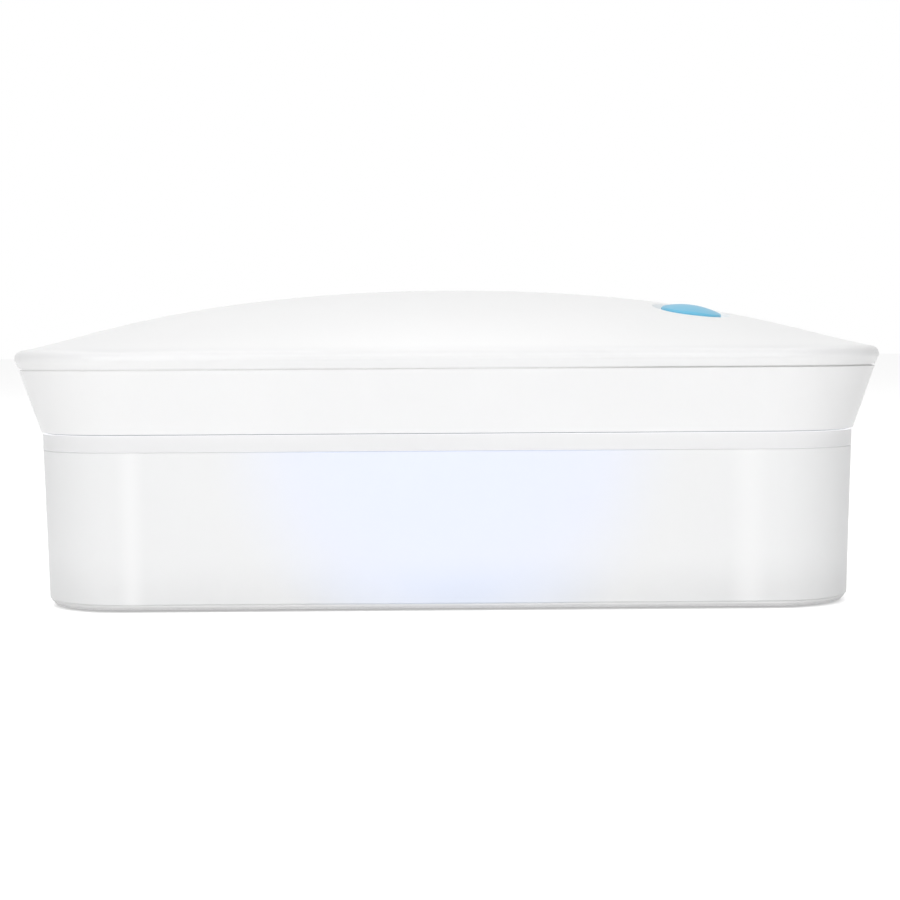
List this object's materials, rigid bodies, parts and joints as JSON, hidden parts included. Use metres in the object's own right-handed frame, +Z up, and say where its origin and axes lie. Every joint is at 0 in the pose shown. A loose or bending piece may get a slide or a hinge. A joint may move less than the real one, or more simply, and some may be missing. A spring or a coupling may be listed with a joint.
{
  "type": "uv disinfection box",
  "caption": "Low rounded box with a frosted tub, a flared white lid with a domed top hinged at the rear, ultraviolet lamps inside the lid and a blue oval button on the dome.",
  "frame": {"origin": "on the table under the middle of the lid", "axes": "+X to the button's end along the long side, -Y to the front, +Z up; the hinge is at +Y"},
  "size_m": [0.215, 0.115, 0.0782],
  "materials": {
    "white_shell": "satin",
    "liner_plastic": "gloss",
    "frosted_plastic": "frosted",
    "white_plate": "matte",
    "grey_rubber": "matte",
    "screw_steel": "satin",
    "socket_steel": "satin",
    "magnet_nickel": "polished",
    "dark_plastic": "matte",
    "board_white": "satin",
    "board_green": "satin",
    "lamp_ceramic": "matte",
    "clear_window": "polished",
    "cell_foil": "satin",
    "blue_key": "satin"
  },
  "bodies": {
    "base": {"base_tub": "frosted_plastic", "base_plate": "white_plate", "rubber_feet": "grey_rubber", "plate_screws": "screw_steel", "base_rim": "white_shell", "rim_gasket": "grey_rubber", "base_magnets": "magnet_nickel", "sensor_magnet": "magnet_nickel", "hinge_pins": "screw_steel"},
    "lid": {"lid_top_cover": "white_shell", "lid_skirt": "white_shell", "lid_liner": "liner_plastic", "battery_cradle": "liner_plastic", "lid_screws": "screw_steel", "lamp_screws": "screw_steel", "control_screws": "screw_steel", "charge_screws": "screw_steel", "button_screws": "screw_steel", "usb_socket": "socket_steel", "usb_tongue": "dark_plastic", "lid_magnets": "magnet_nickel", "lid_sensor": "dark_plastic", "board_components": "dark_plastic", "button_switch": "dark_plastic", "lamp_board": "board_white", "control_board": "board_green", "charge_board": "board_green", "button_board": "board_green", "uv_lamps": "lamp_ceramic", "lamp_window": "clear_window", "battery_cell": "cell_foil"},
    "button": {"button_cap": "blue_key"},
    "plunger": {"switch_plunger": "dark_plastic"}
  },
  "joints": [
    {"name": "lid_hinge", "type": "hinge", "parent": "base", "child": "lid", "pos_m": [0, 0.0536, 0.043], "axis": [-1, 0, 0], "range_deg": [0, 100]},
    {"name": "button_press", "type": "slide", "parent": "lid", "child": "button", "axis": [-0.1312, 0.1361, -0.982], "range_m": [0, 0.0005], "stiffness_N_per_m": 1600, "springref_m": -0.0004},
    {"name": "plunger_press", "type": "slide", "parent": "lid", "child": "plunger", "axis": [-0.1312, 0.1361, -0.982], "range_m": [0, 0.0005]}
  ],
  "couplings": [
    {"joint": "plunger_press", "follows": "button_press", "ratio": 1}
  ]
}
